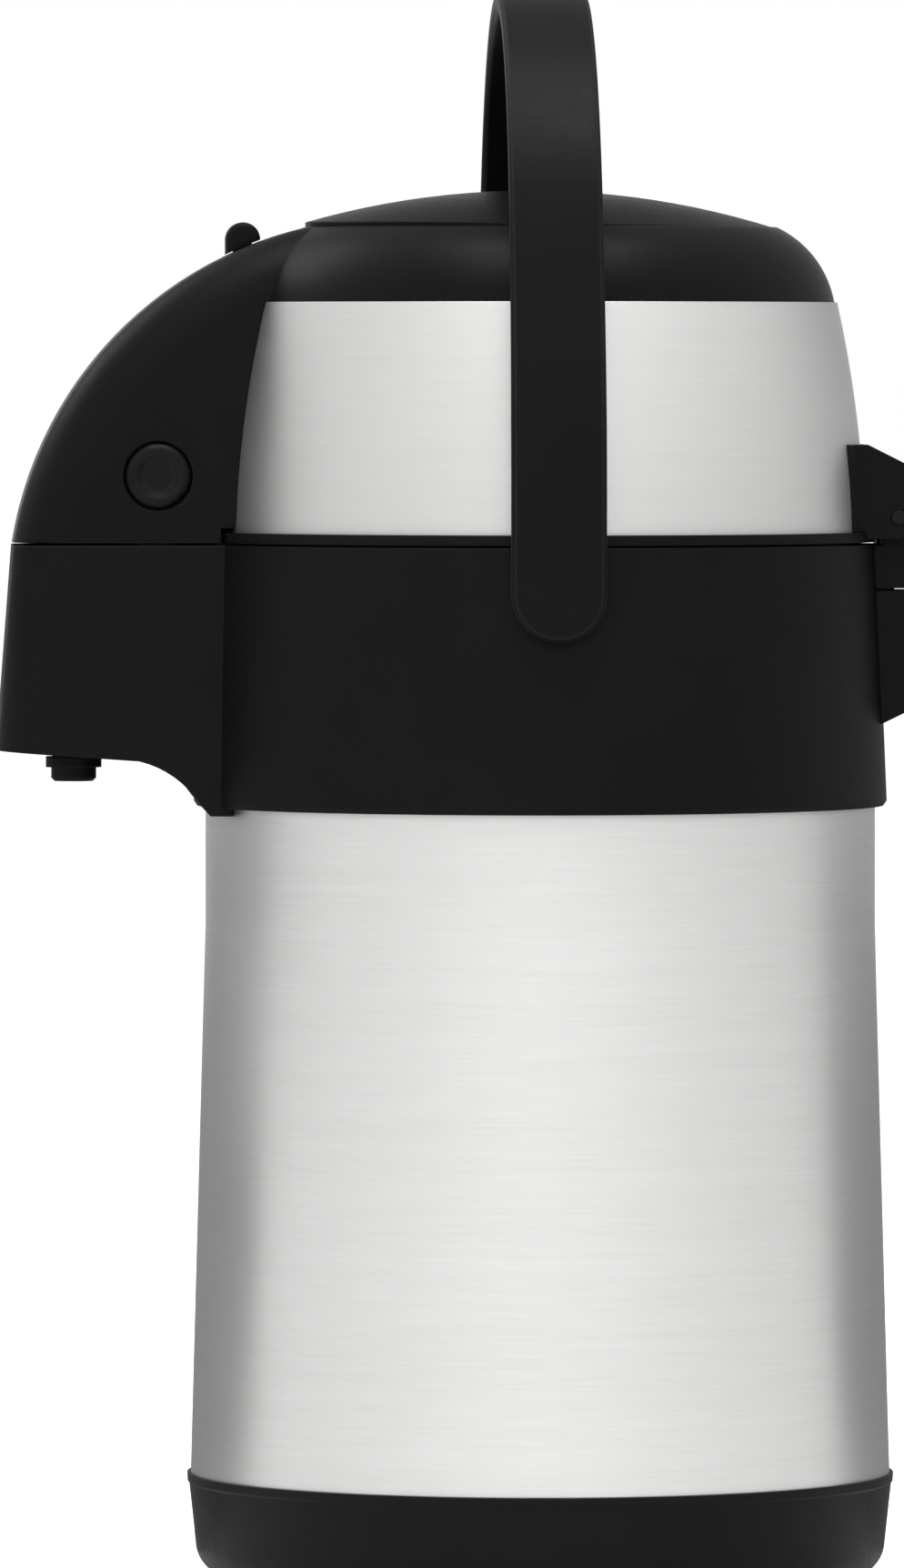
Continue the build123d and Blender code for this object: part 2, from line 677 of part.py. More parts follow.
# Screw bosses
boss_top = band_top + 3.0
for turn in boss_angles:
    boss_post = Pos(boss_ring * cos(radians(turn)), boss_ring * sin(radians(turn)), 0)
    lid_top += boss_post * rod_z(3.2, 0, 0, rim_top, boss_top)
    lid_top -= boss_post * rod_z(screw_radius + press_gap, 0, 0, rim_top - 1, rim_top + 14)
# Holes of the two buttons
for side in (-1, 1):
    x0, x1 = sorted((side * (nose_half_width - 9.5), side * (nose_half_width + 14.5)))
    lid_top -= rod_x(button_radius + button_gap, x0, x1, button_y, button_z)
# Slot of the lock slider in the crest and its window in the guide wall
slope = degrees(asin((crest_y - lock_y) / crest_radius))
crest_height = crest_z + sqrt(crest_radius ** 2 - (lock_y - crest_y) ** 2)
lock_place = Pos(0, lock_y, crest_height) * Rot(slope, 0, 0)
lid_top -= lock_place * block(-1.8, 1.8, -3.0, 3.0 + lock_travel, -8, 4)
window_top = plate_skirt_bottom - 0.4
lid_top -= block(-5.8, 5.8, -guide_outer - 8, -guide_radius + 10, foot_level - 0.9, window_top)
write("lid_top", lid_top)

# Lid base: rim under the band, floor with the gasket groove, tongue under the beak
lid_base = lathe_ring(rim_radius - 5.6, rim_radius, lid_bottom, rim_top)
lid_base += lathe_ring(0, rim_radius - 3.6, lid_floor, lid_floor + lid_plate)
lid_base += lathe_ring(band_bottom_radius - 3.6, band_bottom_radius - 1.4, rim_top - 1, rim_top + 5)
tongue_back = rim_radius - 21.6
tongue = beak_solid(wall + 0.3, hidden=True) & block(
    -half_span, half_span, -nose_beyond, -tongue_back, lid_bottom, rim_top
)
lid_base += tongue
outlet_radius = mouth_radius - 5.5
lid_base -= lathe_ring(0, outlet_radius, lid_floor - 1, lid_floor + lid_plate + 1)
gasket_in = mouth_radius + 1.5
gasket_out = gasket_in + 8.0
lid_base -= lathe_ring(gasket_in, gasket_out, lid_floor - 1, lid_floor + 1.2)
for turn in boss_angles:
    spot = Pos(boss_ring * cos(radians(turn)), boss_ring * sin(radians(turn)), 0)
    lid_base += spot * rod_z(4.6, 0, 0, lid_floor, rim_top)
    lid_base -= spot * rod_z(screw_radius + screw_gap, 0, 0, lid_floor - 1, rim_top + 1)
    lid_base -= spot * rod_z(screw_head + screw_gap, 0, 0, lid_floor - 1, lid_floor + 1.6)
for side in (-1, 1):
    x0, x1 = sorted((side * slot_in, side * (catch_edge + 0.6)))
    lid_base -= block(x0, x1, slot_front, slot_back, lid_floor - 1, rim_top + 1)
# Rib between the two button springs
lid_base += block(-spring_post, spring_post, button_y - 5, button_y + 5, rim_top - 1, button_z + 5)
write("lid_base", lid_base)
write("lid_gasket", lathe_ring(gasket_in, gasket_out, holder_top + 0.2, lid_floor + 1.2))

lid_screws = []
for turn in boss_angles:
    spot = Pos(boss_ring * cos(radians(turn)), boss_ring * sin(radians(turn)), 0)
    shaft = rod_z(screw_radius, 0, 0, lid_floor + 0.4, rim_top + 12)
    head = rod_z(screw_head, 0, 0, lid_floor, lid_floor + 1.6)
    lid_screws.append(spot * (shaft + head))
write("lid_screws", Compound(lid_screws))

# Hinge block at the back of the lid: plate on the band, hood, two cheeks and a centre lug on the pin
band_skin = band_solid(press_gap) + lathe_ring(0, rim_radius + press_gap, lid_bottom - 1, rim_top)
arm_area = block(-hinge_half_width, hinge_half_width, rim_radius - 21.6, pin_y + 4, rim_top, arm_top)
arm_plate = (band_solid(0.9) & arm_area) - band_skin
hood_outline = Polyline(
    (hinge_front, pin_z - 5.2),
    (pin_y, pin_z - 5.2),
    (pin_y + 3.7, pin_z - 3.7),
    (pin_y + 5.2, pin_z),
    (pin_y + 5.6, pin_z + 7),
    (pin_y + 3.4, pin_z + 12.2),
    (band_bottom_radius - 0.9, arm_top),
    (hinge_front, arm_top),
    close=True,
)
hood = extrude(Plane.YZ * make_face(hood_outline), hood_half_width, both=True)
pocket_half = knuckle_half_width + lug_gap
pocket_radius = knuckle_radius + 0.4
pocket = rod_x(pocket_radius, -pocket_half, pocket_half, pin_y, pin_z)
pocket += block(-pocket_half, pocket_half, pin_y - pocket_radius, pin_y + 14, pin_z - 14, pin_z)
pocket += block(-pocket_half, pocket_half, pin_y, pin_y + 14, pin_z - 1, pin_z + pocket_radius)
lug = rod_x(knuckle_radius - 0.4, -lug_half, lug_half, pin_y, pin_z)
lug += block(-lug_half, lug_half, pin_y - 4.6, pin_y + 4.4, pin_z, pin_z + knuckle_radius + 3)
lid_hinge_arm = arm_plate + hood - band_skin - pocket + lug
lid_hinge_arm -= rod_x(pin_radius + running_gap, -40, 40, pin_y, pin_z)
for side in (-1, 1):
    hole = Pos(side * arm_screw_x, arm_screw_y, arm_screw_z) * Rot(90, 0, 0)
    lid_hinge_arm -= hole * Cylinder(screw_radius + press_gap, 14)
write("lid_hinge_arm", lid_hinge_arm)

arm_screws = []
arm_screw_tip = pin_y - 4
head_back = sqrt(band_bottom_radius ** 2 - (arm_screw_x + screw_head) ** 2) - band_sheet - 0.6
for side in (-1, 1):
    shaft = Pos(side * arm_screw_x, (head_back + arm_screw_tip) / 2, arm_screw_z) * Rot(90, 0, 0)
    head = Pos(side * arm_screw_x, head_back - 1, arm_screw_z) * Rot(90, 0, 0)
    arm_screws.append(shaft * Cylinder(screw_radius, arm_screw_tip - head_back) + head * Cylinder(screw_head, 2))
write("hinge_arm_screws", Compound(arm_screws))

# Air pump inside the lid
carrier_top = bellows_bottom
bellows_base = lathe_ring(8, outlet_radius - 0.1, lid_floor + 0.4, lid_floor + lid_plate)
bellows_base += lathe_ring(8, bellows_radius + 3, lid_floor + lid_plate, lid_floor + lid_plate + 2)
bellows_base += lathe_ring(bellows_radius + 0.3, bellows_radius + 3, lid_floor + lid_plate, carrier_top + 3)
bellows_base += lathe_ring(spring_radius + 4, spring_radius + 6, lid_floor + lid_plate + 1, carrier_top)
for turn in range(4):
    bar = block(-8.5, 8.5, -1.2, 1.2, lid_floor + lid_plate, lid_floor + lid_plate + 2)
    bellows_base += Rot(0, 0, 45 * turn) * bar
write("bellows_base", bellows_base)
valve_top = lid_floor + lid_plate + 2
write("air_valve", lathe_ring(0, 7.6, lid_floor + 1.0, lid_floor + lid_plate))


def fold_line(inset):
    """Zigzag side of the bellows from bottom to top."""
    low = carrier_top
    high = bellows_top
    step = (high - low) / bellows_count
    points = []
    for fold in range(bellows_count):
        points.append((bellows_radius - bellows_fold - inset, low + fold * step))
        points.append((bellows_radius - inset, low + (fold + 0.5) * step))
    points.append((bellows_radius - bellows_fold - inset, high))
    return points


outer_folds = fold_line(0)
inner_folds = fold_line(bellows_sheet)
under_top = bellows_top - bellows_sheet
foot_top = carrier_top + bellows_sheet
foot_bore = spring_radius + 4
bellows_outline = (
    outer_folds
    + [(0, bellows_top), (0, under_top), (inner_folds[-1][0], under_top)]
    + inner_folds[-2:0:-1]
    + [(inner_folds[0][0], foot_top), (foot_bore, foot_top), (foot_bore, carrier_top)]
)
bellows = revolve(Plane.XZ * make_face(Polyline(*bellows_outline, close=True)), Axis.Z)
write("bellows", bellows)

spring = lathe_ring(spring_radius - spring_wire, spring_radius, valve_top, under_top - 0.2)
write("bellows_spring", spring)

# Pump plate: thin dome with a skirt, a stop flange and a ring that presses the bellows.
# The crown of the dome lies a little towards the spout.
skirt_in = plate_radius - plate_wall
dome = Pos(0, dome_shift, plate_top - dome_radius) * Sphere(dome_radius)
under_edge = ring_top - 2.3
under_middle = (30.0, plate_top - 5.5)
plate_hollow = lathe(
    *Polyline(
        (0, plate_skirt_bottom - 1),
        (skirt_in, plate_skirt_bottom - 1),
        (skirt_in, under_edge),
        under_middle,
        (0, plate_top - plate_wall),
        close=True,
    ).edges()
)
pump_plate = (lathe_ring(0, plate_radius, plate_skirt_bottom, plate_top + 1) & dome) - plate_hollow
pump_plate += lathe_ring(skirt_in + 1, plate_radius + plate_flange, plate_skirt_bottom, plate_skirt_bottom + 2)
pump_plate += lathe_ring(under_middle[0] - 2, under_middle[0], bellows_top, under_middle[1] + 0.5)
write("pump_plate", pump_plate)

# Lock slider: upright knob with a round top on the crest, stem through the slot, foot bar towards the plate's flange
knob_round_z = crest_height + knob_rise - knob_half_length
knob = rod_x(knob_half_length, -knob_half_width, knob_half_width, lock_y, knob_round_z)
knob_low = crest_height - 13.0
knob_back = lock_y + knob_half_length
knob += block(-knob_half_width, knob_half_width, lock_y - knob_half_length, knob_back, knob_low, knob_round_z)
end_edges = knob.faces().filter_by(Axis.X).edges()
knob = fillet(end_edges.filter_by(lambda edge: edge.center().Z > knob_low + 1), 1.2)
knob -= beak_solid(-knob_gap)
lock_lever = knob + lock_place * block(-1.5, 1.5, -2.5, 2.5, -7.5, 3)
lock_lever += block(-1.5, 1.5, lock_y - 1.7, lock_y + 2.8, foot_level, plate_skirt_bottom + 2.5)
lock_lever += block(-5, 5, lock_y - 1, -guide_outer + 2.0, foot_level, foot_level + 2.0)
write("lock_lever", lock_lever)

# Buttons with latch hooks, and their springs
catch_level = deck_top - wall
hook_in = catch_edge - 2.0
for side, name in ((-1, "left"), (1, "right")):
    cap = rod_x(button_radius, hook_in, button_face, 0, 0)
    cap = fillet(cap.edges().group_by(Axis.X)[-1], 1.6)
    # Dished centre: a cone down to a small flat
    cap -= Pos(button_face - dish_depth / 2, 0, 0) * Rot(0, 90, 0) * Cone(3.9, 5.5, dish_depth)
    flange = rod_x(button_radius + 1.8, hook_in, hook_in + 2.6, 0, 0)
    arm = block(hook_in - 2, hook_in + 0.6, -hook_half, hook_half, catch_level - 3.6 - button_z, 5)
    hook = extrude(
        Plane.XZ
        * make_face(
            Polyline(
                (hook_in, catch_level - 3.4 - button_z),
                (hook_in + 0.8, catch_level - 3.4 - button_z),
                (catch_edge - 0.3, catch_level - 2.0 - button_z),
                (catch_edge - 0.3, catch_level - 0.4 - button_z),
                (hook_in, catch_level - 0.4 - button_z),
                close=True,
            )
        ),
        hook_half,
        both=True,
    )
    peg = rod_x(2.4, hook_in - 4.4, hook_in - 1.8, 0, 0)
    button = Pos(0, button_y, button_z) * (cap + flange + arm + hook + peg)
    spring_end = spring_post + button_travel + 0.2
    coil = rod_x(3.9, spring_end, hook_in - 2, button_y, button_z)
    coil -= rod_x(2.5, spring_end - 1, hook_in - 1, button_y, button_z)
    if side < 0:
        button = mirror(button, Plane.YZ)
        coil = mirror(coil, Plane.YZ)
    write(f"side_button_{name}", button)
    write(f"button_spring_{name}", coil)
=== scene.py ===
import math

import bmesh
import bpy
import numpy as np
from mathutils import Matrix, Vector


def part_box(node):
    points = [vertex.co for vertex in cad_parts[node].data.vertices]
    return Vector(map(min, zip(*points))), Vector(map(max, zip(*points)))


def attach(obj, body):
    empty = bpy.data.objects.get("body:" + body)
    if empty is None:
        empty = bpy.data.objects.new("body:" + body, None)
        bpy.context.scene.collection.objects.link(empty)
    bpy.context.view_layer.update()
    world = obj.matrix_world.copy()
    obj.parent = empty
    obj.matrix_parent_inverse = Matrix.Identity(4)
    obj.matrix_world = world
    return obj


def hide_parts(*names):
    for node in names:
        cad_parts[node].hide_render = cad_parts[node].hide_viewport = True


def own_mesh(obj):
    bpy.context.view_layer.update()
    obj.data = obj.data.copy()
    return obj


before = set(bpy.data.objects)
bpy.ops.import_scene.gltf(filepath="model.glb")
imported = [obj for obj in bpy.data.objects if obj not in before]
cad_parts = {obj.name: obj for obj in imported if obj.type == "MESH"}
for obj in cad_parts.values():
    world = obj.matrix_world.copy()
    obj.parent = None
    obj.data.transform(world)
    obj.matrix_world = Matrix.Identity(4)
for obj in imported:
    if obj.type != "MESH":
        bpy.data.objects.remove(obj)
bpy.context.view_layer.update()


# Base cup.
# The black foot that the steel body stands in, injection moulded in polypropylene in a
# smoother mould than the rest, so that it has a satin sheen. It is pressed up over the
# shell's lower edge.
def linear(code):
    """Linear RGBA of an sRGB hex code: a channel c gives c / 12.92 up to 0.04045, and
    ((c + 0.055) / 1.055) ** 2.4 above it."""
    channels = [int(code[at : at + 2], 16) / 255 for at in (1, 3, 5)]
    return tuple(c / 12.92 if c <= 0.04045 else ((c + 0.055) / 1.055) ** 2.4 for c in channels) + (1.0,)


def put(tree, kind, inputs=None, **settings):
    """Adds one shader node. The settings are its own properties; inputs holds its sockets,
    each a value or another node's output."""
    node = tree.nodes.new(kind)
    for name, value in settings.items():
        setattr(node, name, value)
    for socket, value in (inputs or {}).items():
        if isinstance(value, bpy.types.NodeSocket):
            tree.links.new(value, node.inputs[socket])
        else:
            node.inputs[socket].default_value = value
    return node


def blank(name):
    """An empty material and its tree, with the object's own place as the pattern's coordinates."""
    material = bpy.data.materials.new(name)
    material.use_nodes = True
    tree = material.node_tree
    tree.nodes.clear()
    return material, tree, put(tree, "ShaderNodeTexCoord").outputs["Object"]


def rounded(tree, radius_mm):
    """The normal rounded over radius_mm, and how far it leans from the true one: 1 on sharp
    outer and inner edges, 0 on open faces."""
    soft = put(tree, "ShaderNodeBevel", {"Radius": radius_mm / 1000}, samples=6).outputs["Normal"]
    true = put(tree, "ShaderNodeNewGeometry").outputs["Normal"]
    lean = put(tree, "ShaderNodeVectorMath", {0: soft, 1: true}, operation="DOT_PRODUCT").outputs["Value"]
    edge = put(tree, "ShaderNodeMapRange", {"Value": lean, "From Min": 0.97, "From Max": 0.78})
    return soft, edge.outputs["Result"]


def moulded(
    name, tone, light_tone, rubbed_and_highlight_tone, roughness, grain_mm, edge_mm, shine=0.5, clear=0.0, bloom=0.0
):
    """Injection-moulded plastic or rubber. Fine grain comes from the spark-eroded mould, a
    slow cloudiness from the flow of the melt, faint rubs from hands, and the edges are
    rounded over edge_mm and given a paler tone: rubbed wear where it is close to the body's
    tone, a painted highlight where it is much paler, as on the strap and the buttons. Clear
    lets light into a soft wall, and bloom is the pale haze that a grained surface shows at a
    grazing angle. The real grain is about 0.1 mm; grain_mm is five to nine times coarser,
    so that it shows."""
    flow_mm, rub_mm = 45, 14
    scatter = 0.004
    material, tree, place = blank(name)
    grain = put(
        tree, "ShaderNodeTexNoise", {"Vector": place, "Scale": 1000 / grain_mm, "Detail": 2.0}
    ).outputs["Fac"]
    flow = put(
        tree, "ShaderNodeTexNoise", {"Vector": place, "Scale": 1000 / flow_mm, "Detail": 3.0}
    ).outputs["Fac"]
    rubs = put(
        tree, "ShaderNodeTexNoise", {"Vector": place, "Scale": 1000 / rub_mm, "Detail": 6.0, "Roughness": 0.7}
    ).outputs["Fac"]
    cloud = put(
        tree, "ShaderNodeMapRange", {"Value": flow, "From Min": 0.35, "From Max": 0.65}
    ).outputs["Result"]
    tint = put(
        tree,
        "ShaderNodeMix",
        {"Factor": cloud, "A": linear(tone), "B": linear(light_tone)},
        data_type="RGBA",
    ).outputs["Result"]
    soft, edge = rounded(tree, edge_mm)
    # Edges take the paler tone: rubbed wear, and on the strap and buttons a painted highlight.
    rubbed_and_highlight = put(
        tree, "ShaderNodeMix", {"Factor": edge, "A": tint, "B": linear(rubbed_and_highlight_tone)}, data_type="RGBA"
    ).outputs["Result"]
    matt = put(
        tree,
        "ShaderNodeMapRange",
        {
            "Value": grain,
            "From Min": 0.3,
            "From Max": 0.7,
            "To Min": roughness - 0.05,
            "To Max": roughness + 0.07,
        },
    ).outputs["Result"]
    polish = put(
        tree, "ShaderNodeMapRange", {"Value": rubs, "From Min": 0.55, "From Max": 0.8, "To Max": -0.08}
    ).outputs["Result"]
    finish = put(tree, "ShaderNodeMath", {0: matt, 1: polish}, operation="ADD").outputs[0]
    relief = put(
        tree, "ShaderNodeBump", {"Height": grain, "Strength": 0.22, "Distance": 0.00006, "Normal": soft}
    ).outputs["Normal"]
    surface = put(
        tree,
        "ShaderNodeBsdfPrincipled",
        {
            "Base Color": rubbed_and_highlight,
            "Roughness": finish,
            "IOR": 1.49,
            "Specular IOR Level": shine,
            "Sheen Weight": bloom,
            "Sheen Roughness": 0.3,
            "Subsurface Weight": clear,
            "Subsurface Radius": (scatter, scatter, scatter),
            "Subsurface Scale": 1.0,
            "Normal": relief,
        },
    )
    put(tree, "ShaderNodeOutputMaterial", {"Surface": surface.outputs["BSDF"]})
    return material


def dress(material, *names):
    """Gives CAD nodes their finish."""
    for name in names:
        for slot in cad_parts[name].material_slots:
            slot.material = material


cup_plastic = moulded(
    "polypropylene_black_satin_moulded", "#0a0a0b", "#0d0d0e", "#1d1d1e", 0.38, 0.6, 0.6, shine=0.13
)
dress(cup_plastic, "base_cup")

# Foot ring.
# A square ring of black rubber that is pressed into a groove under the base cup. The
# filled rubber is dull, and greyer than the plastic beside it.
rubber = moulded("rubber_black_moulded", "#151515", "#1b1b1b", "#262626", 0.78, 0.7, 0.4, shine=0.3)
dress(rubber, "foot_ring", "air_valve")


# Outer shell and liner of the flask.
# Stainless steel sheet drawn to a tube and belt brushed round its axis, so it has level
# scratches and a sheen drawn out upright. The liner and the bottom disc are the same
# sheet, spun and left finer.
def brushed_steel(name, tone, light_tone, roughness, scratch_mm, stretch=0.6):
    """Belt-brushed stainless steel. Scratches run level round the axis: noise that is far
    finer in height than along the sheet. They spread the sheen up and down, so the tangent,
    along which the highlight is drawn out, is the piece's own upright. A belt leaves lines
    of about 0.1 mm; scratch_mm is coarser, so that they show. They are 40 times as long."""
    squeeze = 1 / 40
    broad_mm = 9 * scratch_mm
    handled_mm = 60
    material, tree, place = blank(name)
    level = put(
        tree, "ShaderNodeMapping", {"Vector": place, "Scale": (squeeze, squeeze, 1.0)}
    ).outputs["Vector"]
    scratch = put(
        tree, "ShaderNodeTexNoise", {"Vector": level, "Scale": 1000 / scratch_mm, "Detail": 4.0}
    ).outputs["Fac"]
    broad = put(
        tree, "ShaderNodeTexNoise", {"Vector": level, "Scale": 1000 / broad_mm, "Detail": 2.0}
    ).outputs["Fac"]
    handled = put(
        tree, "ShaderNodeTexNoise", {"Vector": place, "Scale": 1000 / handled_mm, "Detail": 3.0}
    ).outputs["Fac"]
    blend = put(tree, "ShaderNodeMix", {"Factor": 0.3, "A": scratch, "B": broad}).outputs["Result"]
    lines = put(
        tree, "ShaderNodeMapRange", {"Value": blend, "From Min": 0.3, "From Max": 0.7}
    ).outputs["Result"]
    tint = put(
        tree,
        "ShaderNodeMix",
        {"Factor": lines, "A": linear(tone), "B": linear(light_tone)},
        data_type="RGBA",
    ).outputs["Result"]
    cut = put(
        tree,
        "ShaderNodeMapRange",
        {"Value": lines, "To Min": roughness + 0.03, "To Max": roughness - 0.02},
    ).outputs["Result"]
    film = put(
        tree, "ShaderNodeMapRange", {"Value": handled, "From Min": 0.4, "From Max": 0.7, "To Max": 0.05}
    ).outputs["Result"]
    dull = put(tree, "ShaderNodeMath", {0: cut, 1: film}, operation="ADD").outputs[0]
    soft = rounded(tree, 0.3)[0]
    relief = put(
        tree, "ShaderNodeBump", {"Height": scratch, "Strength": 0.05, "Distance": 0.00004, "Normal": soft}
    ).outputs["Normal"]
    upright = put(
        tree,
        "ShaderNodeVectorTransform",
        {"Vector": (0.0, 0.0, 1.0)},
        vector_type="VECTOR",
        convert_from="OBJECT",
        convert_to="WORLD",
    ).outputs["Vector"]
    surface = put(
        tree,
        "ShaderNodeBsdfPrincipled",
        {
            "Base Color": tint,
            "Metallic": 1.0,
            "Roughness": dull,
            "Anisotropic": stretch,
            "Tangent": upright,
            "Normal": relief,
        },
    )
    put(tree, "ShaderNodeOutputMaterial", {"Surface": surface.outputs["BSDF"]})
    return material


shell_steel = brushed_steel("stainless_steel_belt_brushed", "#dcdcdb", "#e3e3e2", 0.37, 0.45, 0.7)
dress(shell_steel, "outer_shell")
liner_steel = brushed_steel("stainless_steel_spun_satin", "#c2c3c2", "#d0d1cf", 0.3, 0.8, 0.4)
dress(liner_steel, "flask_liner", "shell_bottom")

# Neck gasket and lid gasket.
# Flat rings of pale food silicone that seal the flask's rim and the lid's floor. Light
# goes a little way into them, so they look soft.
silicone = moulded("silicone_pale_moulded", "#b3b4b0", "#bfc0bb", "#cacbc6", 0.5, 0.8, 0.3, clear=0.25)
dress(silicone, "neck_gasket", "lid_gasket")

# Tube holder.
# A grey moulded plug in the flask's neck that carries the dip tube and clips over the
# deck. Its plastic is plain and matt.
grey_plastic = moulded("polypropylene_grey_moulded", "#777879", "#818283", "#9a9b9c", 0.48, 0.6, 0.5)
dress(grey_plastic, "tube_holder", "bellows_base")


# Dip tube and delivery pipe.
# Drawn stainless tube, electro-polished until it mirrors clearly, with a slanted foot
# below and two bends above.
def bright_steel(name, tone, light_tone, roughness, pit_mm):
    """Polished or plated steel: a clear reflection, slightly broken by fine pits and by
    slow changes of the plating's tone, brighter where the edges are rubbed."""
    patch_mm = 18
    material, tree, place = blank(name)
    pits = put(
        tree, "ShaderNodeTexNoise", {"Vector": place, "Scale": 1000 / pit_mm, "Detail": 3.0}
    ).outputs["Fac"]
    slow = put(
        tree, "ShaderNodeTexNoise", {"Vector": place, "Scale": 1000 / patch_mm, "Detail": 2.0}
    ).outputs["Fac"]
    soft, edge = rounded(tree, 0.25)
    tone_mix = put(
        tree, "ShaderNodeMix", {"Factor": slow, "A": linear(tone), "B": linear(light_tone)}, data_type="RGBA"
    ).outputs["Result"]
    tint = put(
        tree, "ShaderNodeMix", {"Factor": edge, "A": tone_mix, "B": linear(light_tone)}, data_type="RGBA"
    ).outputs["Result"]
    dull = put(
        tree, "ShaderNodeMapRange", {"Value": pits, "To Min": roughness - 0.06, "To Max": roughness + 0.08}
    ).outputs["Result"]
    relief = put(
        tree, "ShaderNodeBump", {"Height": pits, "Strength": 0.08, "Distance": 0.00003, "Normal": soft}
    ).outputs["Normal"]
    surface = put(
        tree,
        "ShaderNodeBsdfPrincipled",
        {"Base Color": tint, "Metallic": 1.0, "Roughness": dull, "Normal": relief},
    )
    put(tree, "ShaderNodeOutputMaterial", {"Surface": surface.outputs["BSDF"]})
    return material


tube_steel = bright_steel("stainless_steel_electropolished", "#c3c4c5", "#d2d3d4", 0.16, 0.5)
dress(tube_steel, "dip_tube", "delivery_pipe")

# Collar with the nose, and the nozzle under it.
# The black ring pushed on the shell's neck carries the whole top. It is moulded in one
# piece with the nose, in matt polypropylene with a spark-eroded grain.
body_plastic = moulded(
    "polypropylene_black_spark_textured", "#0a0a0b", "#0e0e0f", "#1b1b1c", 0.5, 0.5, 0.6, shine=0.1
)
dress(body_plastic, "collar", "nozzle", "hinge_bracket", "hinge_cover")


# Hinge screws and pin.
# Pan-head self-tapping screws with a cross recess, zinc plated, and a turned pin that is
# blackened, so its ends don't shine in the hinge's cheeks.
merge_gap = 1e-6
sharp_turn = math.radians(38)


def skin(name, points, faces):
    """A smooth mesh of a grid of points and its quads. Points that fall together are merged,
    quads that shrink to nothing go, and every face is turned outwards."""
    mesh = bpy.data.meshes.new(name)
    mesh.from_pydata(points.reshape(-1, 3).tolist(), [], faces.reshape(-1, 4).tolist())
    shape = bmesh.new()
    shape.from_mesh(mesh)
    bmesh.ops.remove_doubles(shape, verts=shape.verts, dist=merge_gap)
    bmesh.ops.dissolve_degenerate(shape, edges=shape.edges, dist=merge_gap / 10)
    bmesh.ops.recalc_face_normals(shape, faces=shape.faces)
    shape.to_mesh(mesh)
    shape.free()
    mesh.shade_smooth()
    return mesh


def closed_skin(name, points):
    """A closed surface from a grid of points: both directions run round and join up. Rows
    that shrink to one point become a pole. Edges of more than 38 degrees stay sharp."""
    at = np.arange(points.shape[0] * points.shape[1]).reshape(points.shape[:2])
    after, beside = np.roll(at, -1, 0), np.roll(at, -1, 1)
    mesh = skin(name, points, np.stack([at, after, np.roll(after, -1, 1), beside], axis=-1))
    mesh.set_sharp_from_angle(angle=sharp_turn)
    return mesh


def piece(name, mesh, material, body):
    """A finished piece at the origin, on its body, with its finish."""
    thing = bpy.data.objects.new(name, mesh)
    bpy.context.scene.collection.objects.link(thing)
    mesh.materials.append(material)
    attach(thing, body)
    return thing


def turned_grid(outline, steps):
    """Points of an outline of (radius, height) turned about Z: (r cos a, r sin a, h)."""
    angle = np.linspace(0, 2 * np.pi, steps, endpoint=False)[:, None]
    radius, height = outline[:, 0][None], outline[:, 1][None]
    return np.stack([radius * np.cos(angle), radius * np.sin(angle), height + 0 * angle], axis=-1)


def joined(meshes, name):
    """One mesh from several."""
    whole = bmesh.new()
    for mesh in meshes:
        whole.from_mesh(mesh)
    result = bpy.data.meshes.new(name)
    whole.to_mesh(result)
    whole.free()
    result.shade_smooth()
    result.set_sharp_from_angle(angle=sharp_turn)
    return result


head, shank = 0.0028, 0.0015
head_height = 0.0016
dome_fall = 0.0003
bar_half, bar_reach = 0.00042, 0.0017
bar_flank, bar_end = 0.00014, 0.0004
recess_depth = 0.001


def screw(name, length, place, facing):
    """A pan-head screw. The head is a flat dome, its height falling with the square of the
    radius, less a cross recess: two crossed bars, deep in the middle. The shank below ends
    in a cone. Its head faces along facing, with the top at place."""
    top = np.linspace(0, 0.94, 16)
    rings = np.concatenate([top * head, [head, head, shank, shank, 0.0]])
    rim = [2 * dome_fall, head_height, head_height, length - shank, length]
    drops = np.concatenate([dome_fall * top**2, rim])
    points = turned_grid(np.stack([rings, -drops], axis=-1), 48)
    across = np.minimum(abs(points[..., 0]), abs(points[..., 1]))
    along = np.maximum(abs(points[..., 0]), abs(points[..., 1]))
    bar = np.clip((bar_half - across) / bar_flank, 0, 1) * np.clip((bar_reach - along) / bar_end, 0, 1)
    deep = recess_depth * bar * np.clip(1.15 - along / bar_reach, 0, 1)
    on_top = np.arange(points.shape[1])[None] < len(top)
    points[..., 2] -= np.where(on_top, deep, 0)
    turn = np.array(Vector(facing).to_track_quat("Z", "Y").to_matrix())
    return closed_skin(name, points @ turn.T + np.array(place))


def screw_pair(node):
    """Two screws in place of a node's two, one at each end of its box in x, with their heads
    at its front."""
    low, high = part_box(node)
    height = (low[2] + high[2]) / 2
    places = [(side * (high[0] - head), low[1], height) for side in (-1, 1)]
    return joined([screw(node, high[1] - low[1], place, (0, -1, 0)) for place in places], node)


fastener_steel = bright_steel("steel_zinc_plated", "#a3a5a6", "#c1c3c4", 0.3, 0.4)
hinge_screws = piece(
    "cross_head_hinge_screws", screw_pair("hinge_screws"), fastener_steel, "pot"
)
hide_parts("hinge_screws")
black_steel = bright_steel("steel_blackened", "#1b1b1c", "#2a2a2b", 0.42, 0.4)
dress(black_steel, "hinge_pin")

# Handle and its pins.
# One strap of the same black plastic, bent over the lid, with soft moulded edges painted
# paler as a highlight along them. Its round ends are snapped on two plain steel pins in the collar.
# The strap's pale edge tone is a painted highlight along its edges.
strap_plastic = moulded(
    "polypropylene_black_strap", "#0b0b0c", "#0f0f10", "#3a3a3b", 0.44, 0.5, 1.5, shine=0.09, bloom=0.02
)
dress(strap_plastic, "bail")
dress(fastener_steel, "bail_pins")

